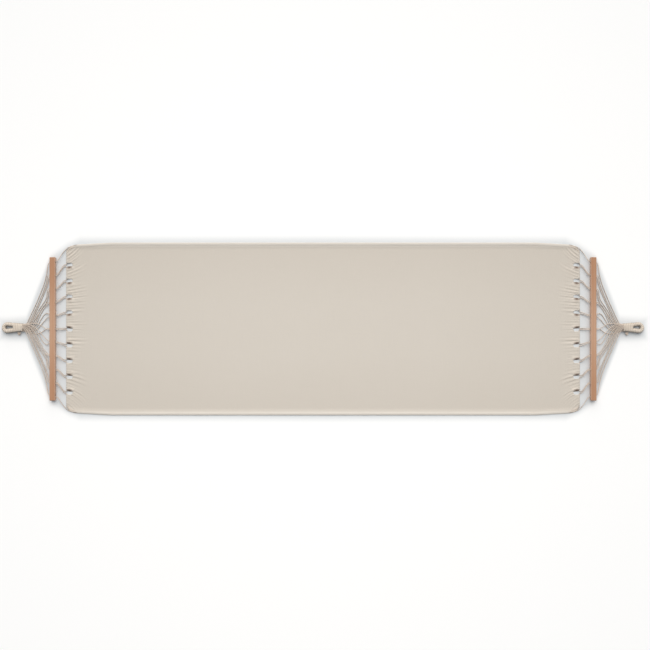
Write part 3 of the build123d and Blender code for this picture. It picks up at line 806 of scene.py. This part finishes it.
def canvas_material():
    """Plain-woven natural cotton: warp and weft 1.3 mm apart with thicker yarns here and there.
    Painted shade darkens it towards the ends and sides, in the valleys of the gathers, on the
    turned facings of the openings and along the outer edge of each corner; painted highlights
    make it paler on the crests of the gathers, on the crowns of the turned tab edges and along
    the side hems."""
    made, tree, shader = new_material("natural_canvas", 0.92, 0.15)
    surface = node(tree, "ShaderNodeUVMap", uv_map="surface").outputs["UV"]
    thread = {
        "Vector": surface, "Scale": 240.0, "Distortion": 0.6, "Detail": 1.0, "Detail Scale": 0.4,
    }
    warp = node(tree, "ShaderNodeTexWave", thread, bands_direction="X").outputs["Fac"]
    weft = node(tree, "ShaderNodeTexWave", thread, bands_direction="Y").outputs["Fac"]
    weave = sums(tree, "MULTIPLY", warp, weft)
    long_yarn = noise(tree, stretched(tree, surface, (9, 620, 1)), 1.0, 3.0)
    cross_yarn = noise(tree, stretched(tree, surface, (620, 9, 1)), 1.0, 3.0)
    yarns = sums(tree, "ADD", long_yarn, cross_yarn)
    cloud = noise(tree, surface, 2.2, 3.0)
    where = axes(tree, "Object")
    from_end = sums(tree, "ABSOLUTE", where["X"])
    from_line = sums(tree, "ABSOLUTE", where["Y"])
    # painted shade: the cloth darkens towards its ends and its long sides, a painted falloff of
    # light
    painted_shade_to_end = ramp(tree, from_end, 0.5, 1.15)
    painted_shade_to_side = ramp(tree, from_line, 0.12, 0.36)
    # painted highlight along the tops of the side hems
    ridge = ramp(tree, from_line, 0.378, 0.388)
    tone = (0.655, 0.603, 0.538, 1)
    for source, share, colour in (
        (yarns, 0.5, (0.585, 0.538, 0.478, 1)),
        (weave, 0.22, (0.71, 0.665, 0.605, 1)),
        (cloud, 0.22, (0.585, 0.53, 0.465, 1)),
        (painted_shade_to_end, 0.30, (0.55, 0.50, 0.435, 1)),
        (painted_shade_to_side, 0.35, (0.55, 0.495, 0.43, 1)),
        # painted highlight on the side hems
        (ridge, 0.35, (0.74, 0.70, 0.645, 1)),
        # painted highlight on the pleat crests and the crowns of the turned tab edges
        (stored(tree, "crest_highlight"), 0.65, (0.80, 0.71, 0.62, 1)),
        # painted shade in the pleat valleys
        (stored(tree, "valley"), 0.50, (0.34, 0.29, 0.235, 1)),
        # painted shade on the facings of the openings and along the corners' outer edges
        (stored(tree, "shade"), 0.95, (0.14, 0.09, 0.065, 1)),
    ):
        tone = tinted(tree, tone, source, share, colour)
    tree.links.new(tone, shader.inputs["Base Color"])
    bumped(tree, shader, [(weave, 0.5, 0.0004), (yarns, 0.45, 0.0006)])
    return made


def cord_material(name, crown_colour, groove_colour, fibre_scale, lower_share=0.0):
    """Cotton yarn: fine fibres along the cord, with painted shade in the grooves between yarns
    or turns and towards its underside, more so at the front. lower_share sets the painted
    shade on the cords that lie low, under others."""
    made, tree, shader = new_material(name, 0.9, 0.2)
    surface = node(tree, "ShaderNodeUVMap", uv_map="surface").outputs["UV"]
    place_on = node(tree, "ShaderNodeTexCoord").outputs["Object"]
    fibre = noise(tree, stretched(tree, surface, fibre_scale), 1.0, 4.0)
    patch = noise(tree, place_on, 38.0, 2.0)
    facing = axes(tree, "Normal")
    # painted shade on the undersides of the cords, stronger on faces turned to the front
    under = ramp(tree, facing["Z"], 0.88, 0.25)
    to_front = ramp(tree, facing["Y"], 0.35, -0.5)
    painted_underside_shade = sums(tree, "MULTIPLY", under, ramp(tree, to_front, 0.0, 1.0, low=0.55))
    # painted shade on the cords that lie low, near the floor, under others
    painted_low_shade = ramp(tree, axes(tree, "Object")["Z"], 0.0125, 0.003)
    tone = mixed(tree, fibre, crown_colour, darkened(crown_colour, 0.86))
    tone = tinted(tree, tone, patch, 0.35, groove_colour)
    # painted shade in the grooves between yarns or turns
    tone = mixed(tree, sums(tree, "POWER", stored(tree, "groove"), 1.6), tone, groove_colour)
    tone = tinted(tree, tone, painted_low_shade, lower_share, groove_colour)
    tone = tinted(tree, tone, painted_underside_shade, 0.95, darkened(groove_colour, 0.45))
    tree.links.new(tone, shader.inputs["Base Color"])
    bumped(tree, shader, [(fibre, 0.6, 0.0004)])
    return made


def wood_material():
    """Oiled hardwood: long grain, fine pores, paler towards the middle of its length, painted
    light on its inner and outer faces, and dark end grain."""
    made, tree, shader = new_material("oiled_bar_wood", 0.5)
    place_on = node(tree, "ShaderNodeTexCoord").outputs["Object"]
    grain = noise(tree, stretched(tree, place_on, (90, 2.2, 90)), 1.0, 5.0, 0.6)
    pores = noise(tree, stretched(tree, place_on, (700, 22, 700)), 1.0, 2.0)
    rings = node(tree, "ShaderNodeTexWave", {
        "Vector": stretched(tree, place_on, (26, 0.7, 20)), "Scale": 1.0,
        "Distortion": 5.0, "Detail": 3.0, "Detail Scale": 0.8,
    }).outputs["Fac"]
    outer = ramp(tree, sums(tree, "ABSOLUTE", axes(tree, "Object")["Y"]), 0.05, 0.26)
    facing = axes(tree, "Normal")
    cut_end = ramp(tree, sums(tree, "ABSOLUTE", facing["Y"]), 0.35, 0.85)
    # painted light: faces turned along x, the bar's inner and outer sides, are made paler
    painted_side_light = ramp(tree, sums(tree, "ABSOLUTE", facing["X"]), 0.35, 0.9)
    tone = mixed(tree, outer, (0.515, 0.315, 0.21, 1), (0.405, 0.20, 0.11, 1))
    for source, share, colour in (
        (rings, 0.30, (0.36, 0.185, 0.10, 1)),
        (grain, 0.45, (0.60, 0.37, 0.24, 1)),
        (pores, 0.20, (0.25, 0.13, 0.075, 1)),
        (cut_end, 0.75, (0.22, 0.11, 0.06, 1)),
        (painted_side_light, 0.55, (0.80, 0.54, 0.40, 1)),
    ):
        tone = tinted(tree, tone, source, share, colour)
    tree.links.new(tone, shader.inputs["Base Color"])
    bumped(tree, shader, [(pores, 0.3, 0.0004), (grain, 0.2, 0.0006)])
    return made


def give(piece, material):
    piece.data.materials.clear()
    piece.data.materials.append(material)


canvas_look = canvas_material()
wood_look = wood_material()
cord_look = cord_material(
    "twisted_cotton_cord", (0.98, 0.86, 0.75, 1), (0.33, 0.235, 0.17, 1), (260, 9, 1),
    lower_share=0.3,
)
wound_look = cord_material(
    "wound_cotton_cord", (0.80, 0.71, 0.61, 1), (0.24, 0.18, 0.13, 1), (900, 40, 1),
)
bundle_look = cord_material(
    "cord_bundle", (0.62, 0.54, 0.45, 1), (0.28, 0.21, 0.155, 1), (60, 500, 1),
)
give(canvas, canvas_look)
for piece in cord_pieces:
    give(piece, wound_look if "turns" in piece.name else cord_look)
for name, cad in nodes.items():
    if name.startswith("spreader_bar"):
        give(cad, wood_look)
    elif name.startswith("canvas_bed"):
        give(cad, canvas_look)
    else:
        give(cad, bundle_look)

# ---------------------------------------------------------------- floor and light
# A painted shadow makes the floor a little greyer close to the hammock: full inside its
# outline, whose half width is OUTLINE_Y at a distance OUTLINE_X from the middle, and gone
# SHADE_REACH outside it. All of these are in metres. The floor's grid is fine near the hammock
# and has one more row beyond.
OUTLINE_X = [0.0, 1.13, 1.19, 1.27, 1.38, 1.48]
OUTLINE_Y = [0.40, 0.395, 0.368, 0.312, 0.03, 0.022]
SHADE_REACH = 0.045
FLOOR_STEP = 0.008
FLOOR_HALF = 9
floor_x = np.concatenate([[-FLOOR_HALF], np.arange(-1.64, 1.641, FLOOR_STEP), [FLOOR_HALF]])
floor_y = np.concatenate([[-FLOOR_HALF], np.arange(-0.56, 0.561, FLOOR_STEP), [FLOOR_HALF]])
plan_x, plan_y = np.meshgrid(floor_x, floor_y)
outline = np.interp(np.abs(plan_x), OUTLINE_X, OUTLINE_Y)
outside = np.maximum(np.abs(plan_y) - outline, np.abs(plan_x) - OUTLINE_X[-1])
floor_grid = np.stack([plan_x, plan_y, np.zeros_like(plan_x)], axis=-1)
floor_mesh = skin("studio_floor", floor_grid, floor_grid[..., :2])
# painted shadow: near is 1 inside the hammock's outline and falls to 0 SHADE_REACH outside it
store(floor_mesh, "near", 1 - step_up(outside, -0.006, SHADE_REACH))
floor = new_piece("studio_floor", floor_mesh)
floor_look, floor_tree, floor_shader = new_material("white_floor", 1.0)
floor_painted_shadow = stored(floor_tree, "near")
# the painted shadow's bluish grey
floor_tone = mixed(floor_tree, floor_painted_shadow, (0.93, 0.93, 0.93, 1), (0.665, 0.685, 0.70, 1))
floor_tree.links.new(floor_tone, floor_shader.inputs["Base Color"])
floor_shader.inputs["Specular IOR Level"].default_value = 0.0
give(floor, floor_look)

sky = bpy.data.worlds.new("soft_studio")
sky.use_nodes = True
background = sky.node_tree.nodes["Background"]
background.inputs["Color"].default_value = (0.93, 0.965, 1.0, 1)
background.inputs["Strength"].default_value = 0.36
scene.world = sky


def add_light(name, kind, location, energy, colour, **settings):
    """A light at a place, turned to face the middle of the bed."""
    data = bpy.data.lights.new(name, kind)
    data.energy = energy
    data.color = colour
    for key, value in settings.items():
        setattr(data, key, value)
    lamp = bpy.data.objects.new(name, data)
    lamp.location = location
    reach = np.linalg.norm(location)
    lamp.rotation_euler = (math.acos(location[2] / reach), 0, math.atan2(location[0], -location[1]))
    scene.collection.objects.link(lamp)


add_light("key_from_the_back", "SUN", (0.0, 2.8, 2.6), 3.0, (1.0, 0.975, 0.94), angle=1.3)
add_light(
    "overhead_softbox", "AREA", (0.0, 0.2, 3.2), 14.0, (1.0, 0.98, 0.95), shape="DISK", size=1.6,
)
